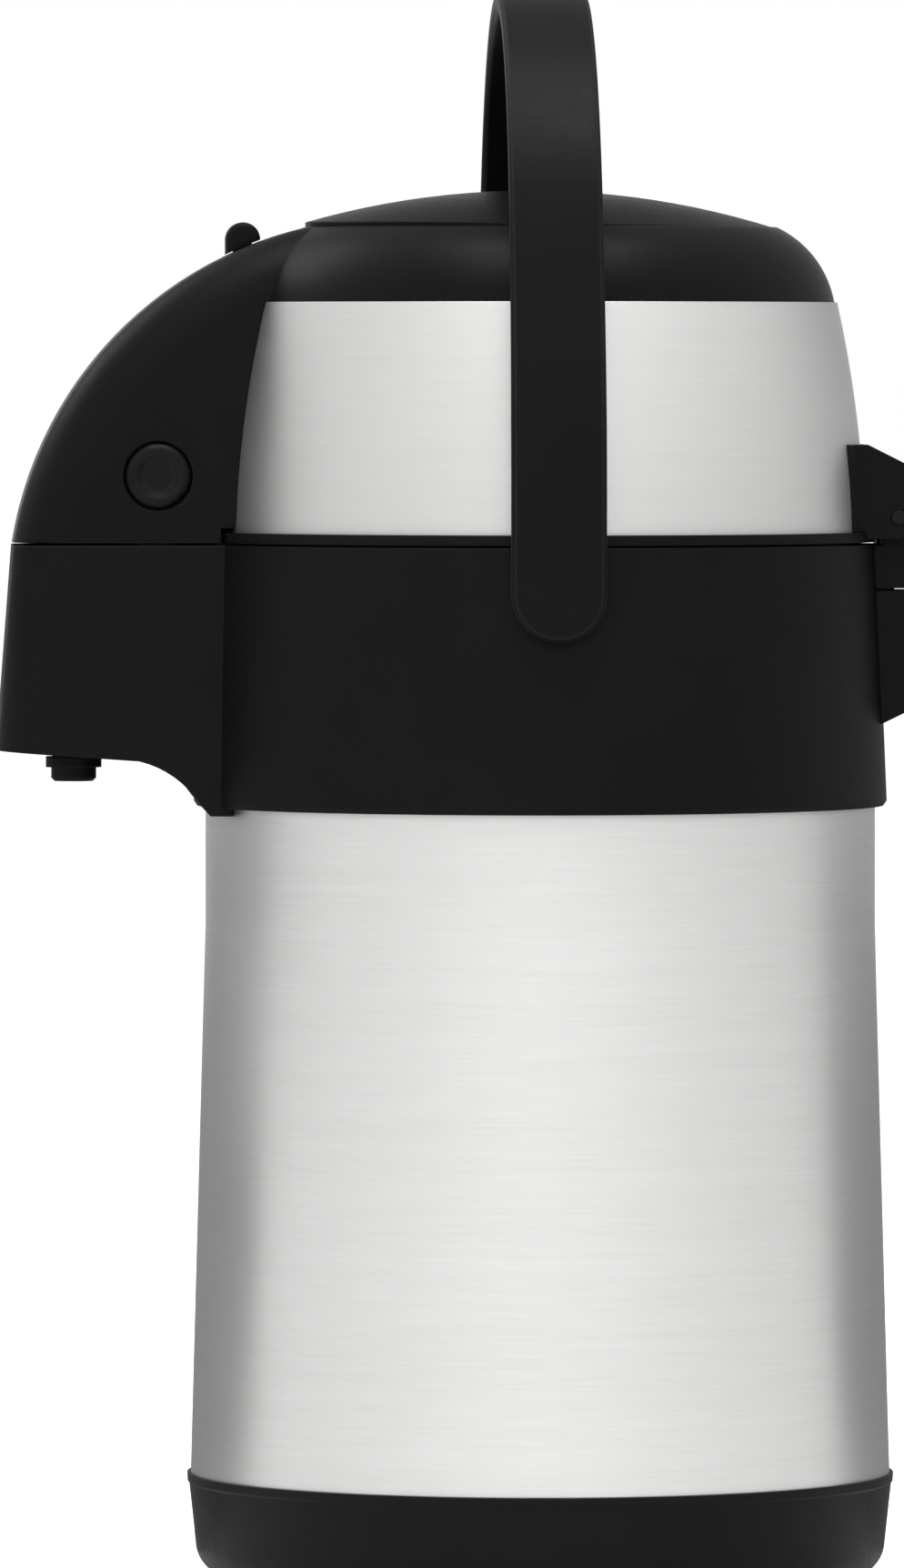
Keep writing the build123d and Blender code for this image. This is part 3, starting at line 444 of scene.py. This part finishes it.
# Lid base and its screws.
# The moulded floor of the lid, screwed up into four posts of the lid top from below.
dress(body_plastic, "lid_base")
low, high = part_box("lid_screws")
post_circle = 0.067
post_turns = [math.radians(turn) for turn in (50, 130, 215, 325)]
spots = [(post_circle * math.cos(turn), post_circle * math.sin(turn), low[2]) for turn in post_turns]
for_lid = [screw("lid_screw", high[2] - low[2], spot, (0, 0, -1)) for spot in spots]
lid_screws = piece(
    "cross_head_lid_screws", joined(for_lid, "lid_screws"), fastener_steel, "lid"
)
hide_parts("lid_screws")

# Lid band.
# A conical ring of thin stainless sheet, rolled, welded, and belt brushed like the body,
# with a coarser belt, so that its sheen is broader and spreads more evenly.
lid_steel = brushed_steel("stainless_steel_lid_belt_brushed", "#d4d4d3", "#d9d9d8", 0.44, 0.45, 0.25)
dress(lid_steel, "lid_band")

# Lid top, with the beak and the hinge block.
# One black moulding forms the ring on the band and the beak down to the seam; the hinge
# block is a second one, screwed through the band from inside.
crown_plastic = moulded(
    "polypropylene_black_crown", "#080808", "#0b0b0c", "#1d1d1e", 0.4, 0.5, 0.8, shine=0.1, bloom=0.04
)
dress(crown_plastic, "lid_top", "lid_hinge_arm")
arm_screws = piece(
    "cross_head_arm_screws", screw_pair("hinge_arm_screws"), fastener_steel, "lid"
)
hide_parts("hinge_arm_screws")


# Bellows of the air pump.
# A blow-moulded pale rubber cup, upside down, with seven round folds in its wall, dull
# and slightly see-through. On the pump it flattens by the plate's 20 mm stroke and springs
# back; this piece keeps its full height.
sheet = 0.0011
low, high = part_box("bellows")
crest, fold_depth, folds = high[0], 0.006, 7
root = crest - fold_depth
shoulder = 0.6 * root
foot_bore = 0.024
steps_a_fold = 14
tip_round = 0.97


def fold_wall():
    """The folded wall from its foot to its top, as (radius, height). The radius swings
    between crest and root as a triangle wave with rounded tips, which is the arcsine of
    a slightly lowered sine."""
    turn = np.linspace(0, folds, folds * steps_a_fold + 1)
    swing = np.arcsin(tip_round * np.sin(2 * np.pi * turn - np.pi / 2)) / np.arcsin(tip_round)
    radius = crest - fold_depth / 2 + fold_depth / 2 * swing
    return np.stack([radius, low[2] + (high[2] - low[2]) * turn / folds], axis=-1)


outer_wall = fold_wall()
inner_wall = fold_wall() - np.array([sheet, 0])
inner_wall[:, 1] = np.clip(inner_wall[:, 1], low[2] + sheet, high[2] - sheet)
bellows_outline = np.concatenate(
    [
        [[foot_bore, low[2]]],
        outer_wall,
        [[shoulder, high[2]], [0, high[2]], [0, high[2] - sheet], [shoulder, high[2] - sheet]],
        inner_wall[::-1],
        [[foot_bore, low[2] + sheet]],
    ]
)
bellows_rubber = moulded(
    "rubber_pale_blow_moulded", "#a9aaa4", "#b5b6b0", "#c3c4bf", 0.5, 0.9, 0.4, clear=0.3
)
bellows_skin = closed_skin("folded_bellows", turned_grid(bellows_outline, 96))
bellows = piece("folded_bellows", bellows_skin, bellows_rubber, "lid")
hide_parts("bellows")
tall = high[2] - low[2]
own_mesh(bellows)


# Pump spring.
# Drawn spring-steel wire, greyer than the sheet and smooth from the die, coiled with a
# closed turn at each end. It stands inside the bellows and lifts the plate.
def coil(mean, wire, length, turns):
    """A wire coil up Z from 0 to length: the point at angle t is (m cos t, m sin t, h(t)),
    where h climbs one wire a turn in the end turns and evenly between them. A circle of
    the wire's radius is carried along it, and shrinks to a point at both ends."""
    thick = wire / 2
    turn = np.linspace(0, turns, int(turns * 36) + 1)
    climb = [thick, thick + wire, length - thick - wire, length - thick]
    height = np.interp(turn, [0, 1, turns - 1, turns], climb)
    size = np.full_like(turn, thick)
    size[[0, -1]] = 0
    size[[1, -2]] *= 0.8
    angle, round_wire = 2 * np.pi * turn[:, None], np.linspace(0, 2 * np.pi, 12, endpoint=False)[None]
    out = mean + size[:, None] * np.cos(round_wire)
    up = height[:, None] + size[:, None] * np.sin(round_wire)
    return np.stack([out * np.cos(angle), out * np.sin(angle), up], axis=-1)


def coil_mesh(name, grid):
    """The coil's skin: quads round the wire and along it, closed where it shrinks to a point
    at either end."""
    at = np.arange(grid.shape[0] * grid.shape[1]).reshape(grid.shape[:2])
    beside = np.roll(at, -1, 1)
    return skin(name, grid, np.stack([at[:-1], at[1:], beside[1:], beside[:-1]], axis=-1))


spring_steel = bright_steel("spring_steel_drawn_wire", "#8f9193", "#adafb1", 0.26, 0.3)
low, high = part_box("bellows_spring")
pump_wire, pump_turns = 0.0018, 9.0
tall = high[2] - low[2]
spring_grid = coil(high[0] - pump_wire / 2, pump_wire, tall, pump_turns) + np.array([0, 0, low[2]])
spring_skin = coil_mesh("pump_spring_coil", spring_grid)
pump_spring = piece("pump_spring_coil", spring_skin, spring_steel, "lid")
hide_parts("bellows_spring")
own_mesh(pump_spring)

# Pump plate.
# The domed black plate that the hand presses, with a step round its edge. The palm has
# polished it a little, so it is smoother than the ring round it.
plate_plastic = moulded(
    "polypropylene_black_plate", "#0a0a0b", "#0d0d0e", "#1e1e1f", 0.38, 0.5, 0.8, shine=0.05
)
dress(plate_plastic, "pump_plate")

# Lock slider.
# A small knob on the beak's crest, moulded in the handle's plastic. Slid towards the
# plate, it keeps the plate from going down.
dress(strap_plastic, "lock_lever")

# Latch buttons and their springs.
# Two dished round buttons in the beak's sides, each with a hook into the nose's deck. A
# wire coil stands between each button and the rib in the middle of the lid. Fingers keep
# the buttons glossier than the beak, and their rims are painted paler as a highlight ring.
# The buttons' pale rim tone is a painted highlight round each rim.
button_plastic = moulded(
    "polypropylene_black_button", "#060606", "#080808", "#434344", 0.32, 0.5, 1.8, shine=0.16
)
dress(button_plastic, "side_button_left", "side_button_right")
rib = 0.0016
small_wire, small_turns = 0.0007, 7.0
for side, word in ((-1, "left"), (1, "right")):
    low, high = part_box(f"button_spring_{word}")
    far = max(abs(low[0]), abs(high[0]))
    middle = ((low[1] + high[1]) / 2, (low[2] + high[2]) / 2)
    grid = coil((high[1] - low[1]) / 2 - small_wire / 2, small_wire, far - rib, small_turns)
    x_way = side * (rib + grid[..., 2])
    lying = np.stack([x_way, middle[0] + grid[..., 0], middle[1] + side * grid[..., 1]], axis=-1)
    small_skin = coil_mesh(f"button_coil_{word}", lying)
    small_coil = piece(f"button_coil_{word}", small_skin, spring_steel, "lid")
    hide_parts(f"button_spring_{word}")
    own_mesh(small_coil)


# Table and studio.
# A white sheet under the pot that runs to the horizon, a white surround, soft lamps, and
# grey cards that only the metal mirrors.
def staged_sheet(name, points, material):
    """An open sheet of the studio: quads between the neighbours in a grid of points."""
    at = np.arange(points.shape[0] * points.shape[1]).reshape(points.shape[:2])
    faces = np.stack([at[:-1, :-1], at[:-1, 1:], at[1:, 1:], at[1:, :-1]], axis=-1).reshape(-1, 4)
    mesh = bpy.data.meshes.new(name)
    mesh.from_pydata(points.reshape(-1, 3).tolist(), [], faces.tolist())
    mesh.materials.append(material)
    sheet = bpy.data.objects.new(name, mesh)
    bpy.context.scene.collection.objects.link(sheet)
    return sheet


def light_paths(tree):
    """Two switches: 1 for a ray from the camera, and 1 for a ray that metal or glass sends on."""
    ray = put(tree, "ShaderNodeLightPath").outputs
    sent_on = put(
        tree, "ShaderNodeMath", {0: ray["Is Glossy Ray"], 1: ray["Is Transmission Ray"]}, operation="MAXIMUM"
    )
    return ray["Is Camera Ray"], sent_on.outputs[0]


paper, tree, place = blank("paper_sheet_white")
fibre_mm = 3.0
fibre = put(tree, "ShaderNodeTexNoise", {"Vector": place, "Scale": 1000 / fibre_mm, "Detail": 2.0})
shade = put(
    tree,
    "ShaderNodeMix",
    {"Factor": fibre.outputs["Fac"], "A": linear("#eeeeee"), "B": linear("#f1f1f1")},
    data_type="RGBA",
)
sheet_face = put(tree, "ShaderNodeBsdfDiffuse", {"Color": shade.outputs["Result"]})
lift = put(tree, "ShaderNodeEmission", {"Color": (1, 1, 1, 1), "Strength": 0.7})
both = put(tree, "ShaderNodeAddShader", {0: sheet_face.outputs[0], 1: lift.outputs[0]})
shine_lift = put(tree, "ShaderNodeEmission", {"Color": (1, 1, 1, 1), "Strength": 0.02})
shine = put(tree, "ShaderNodeAddShader", {0: sheet_face.outputs[0], 1: shine_lift.outputs[0]})
from_camera, sent_on = light_paths(tree)
in_metal = put(tree, "ShaderNodeMixShader", {0: sent_on, 1: sheet_face.outputs[0], 2: shine.outputs[0]})
mixed = put(tree, "ShaderNodeMixShader", {0: from_camera, 1: in_metal.outputs[0], 2: both.outputs[0]})
put(tree, "ShaderNodeOutputMaterial", {"Surface": mixed.outputs[0]})
table_half = 30.0
across, along = np.meshgrid(np.linspace(-table_half, table_half, 3), np.linspace(-table_half, table_half, 3))
staged_sheet("table", np.stack([across, along, np.zeros_like(across)], axis=-1), paper)

world = bpy.data.worlds.new("studio")
bpy.context.scene.world = world
world.use_nodes = True
tree = world.node_tree
tree.nodes.clear()
way = put(tree, "ShaderNodeTexCoord").outputs["Generated"]
to_front = put(tree, "ShaderNodeSeparateXYZ", {"Vector": way}).outputs["X"]
# What the metal mirrors: a bright room in front of the pot, dimmer at its sides, and the
# white backdrop straight behind.
front = put(
    tree,
    "ShaderNodeMapRange",
    {"Value": to_front, "From Min": -0.95, "From Max": 0.1, "To Min": 0.35, "To Max": 0.95},
    interpolation_type="SMOOTHSTEP",
).outputs["Result"]
near = put(
    tree,
    "ShaderNodeMapRange",
    {"Value": to_front, "From Min": 0.1, "From Max": 1.0, "To Max": 0.25},
).outputs["Result"]
behind = put(
    tree,
    "ShaderNodeMapRange",
    {"Value": to_front, "From Min": -0.93, "From Max": -0.99, "To Max": 0.7},
    interpolation_type="SMOOTHSTEP",
).outputs["Result"]
level = put(tree, "ShaderNodeMath", {0: front, 1: near}, operation="ADD").outputs[0]
level = put(tree, "ShaderNodeMath", {0: level, 1: behind}, operation="ADD").outputs[0]
room = put(tree, "ShaderNodeBackground", {"Color": (1, 1, 1, 1), "Strength": 0.42})
mirror = put(tree, "ShaderNodeBackground", {"Color": (1, 1, 1, 1), "Strength": level})
white = put(tree, "ShaderNodeBackground", {"Color": (1, 1, 1, 1), "Strength": 1.0})
from_camera, sent_on = light_paths(tree)
glossy = put(tree, "ShaderNodeMixShader", {0: sent_on, 1: room.outputs[0], 2: mirror.outputs[0]})
surround = put(tree, "ShaderNodeMixShader", {0: from_camera, 1: glossy.outputs[0], 2: white.outputs[0]})
put(tree, "ShaderNodeOutputWorld", {"Surface": surround.outputs[0]})


def softbox(name, place, aim, width, height, power, mirrored):
    """A rectangular lamp that faces a point, hidden from the camera. The metal mirrors it
    only where mirrored is true."""
    lamp = bpy.data.lights.new(name, "AREA")
    lamp.shape = "RECTANGLE"
    lamp.size = width
    lamp.size_y = height
    lamp.energy = power
    holder = bpy.data.objects.new(name, lamp)
    holder.location = place
    holder.rotation_euler = (Vector(aim) - Vector(place)).to_track_quat("-Z", "Y").to_euler()
    holder.visible_camera = False
    holder.visible_glossy = mirrored
    bpy.context.scene.collection.objects.link(holder)


# The crest lamp, up behind the beak, draws the pale line along its edge.
softbox("front_softbox", (2.4, -0.5, 0.9), (0, 0, 0.18), 1.6, 1.4, 18, False)
softbox("left_softbox", (0.8, -2.2, 0.9), (0, 0, 0.22), 0.9, 1.4, 8, False)
softbox("crest_softbox", (-1.1, -1.4, 1.5), (0, -0.08, 0.27), 1.0, 1.0, 6, True)
softbox("top_softbox", (0.4, 0.0, 2.0), (0, 0, 0.25), 1.3, 1.3, 24, True)


card_grey, tree, place = blank("card_grey_matt")
felt_mm = 4.0
weave = put(tree, "ShaderNodeTexNoise", {"Vector": place, "Scale": 1000 / felt_mm, "Detail": 2.0})
felt = put(
    tree,
    "ShaderNodeMix",
    {"Factor": weave.outputs["Fac"], "A": linear("#7c7c7c"), "B": linear("#848484")},
    data_type="RGBA",
)
glow = put(tree, "ShaderNodeEmission", {"Color": felt.outputs["Result"], "Strength": 1.25})
put(tree, "ShaderNodeOutputMaterial", {"Surface": glow.outputs[0]})
card_start, card_end = 101, 169
card_foot, card_reach = 0.10, 0.36
card_lift, card_height = 0.0005, 0.14


def bent_card(name, side):
    """A grey card round the back of one side, between two turns from the front: a path of
    three points, out along the table from foot to reach and then up to its height, turned
    about the pot's axis. Only mirrors see it, and it darkens the sides of the steel."""
    turn = np.radians(np.linspace(side * card_start, side * card_end, 16))[:, None]
    radius = np.array([[card_foot, card_reach, card_reach]])
    rise = np.array([[card_lift, card_lift, card_height]])
    points = np.stack([radius * np.cos(turn), radius * np.sin(turn), rise + 0 * turn], axis=-1)
    card = staged_sheet(name, points, card_grey)
    card.visible_camera = card.visible_diffuse = card.visible_shadow = False


bent_card("left_card", -1)
bent_card("right_card", 1)
bpy.context.scene.view_settings.view_transform = "Standard"

# Camera.
# A long lens at lid height, 87 degrees round from the nose side, pitched slightly down.
pixels_wide, pixels_high = 994, 1724
lens_pixels = 16000.0
azimuth = math.radians(3.0)
distance = 3.555
pixels_per_metre = lens_pixels / distance
axis_column = 594.0
table_row = 1735.0
horizon_row = 390.0
eye_height = (table_row - horizon_row) / pixels_per_metre
eye = Vector((distance * math.cos(azimuth), -distance * math.sin(azimuth), eye_height))
right = Vector((math.sin(azimuth), math.cos(azimuth), 0))
aside = (pixels_wide / 2 - axis_column) / pixels_per_metre
aim = right * aside + Vector((0, 0, (table_row - pixels_high / 2) / pixels_per_metre))
lens = bpy.data.cameras.new("camera")
lens.sensor_fit = "VERTICAL"
lens.sensor_height = 36.0
lens.lens = lens_pixels / pixels_high * lens.sensor_height
lens.clip_end = 100.0
camera = bpy.data.objects.new("camera", lens)
camera.location = eye
camera.rotation_euler = (aim - eye).to_track_quat("-Z", "Y").to_euler()
bpy.context.scene.collection.objects.link(camera)
bpy.context.scene.camera = camera
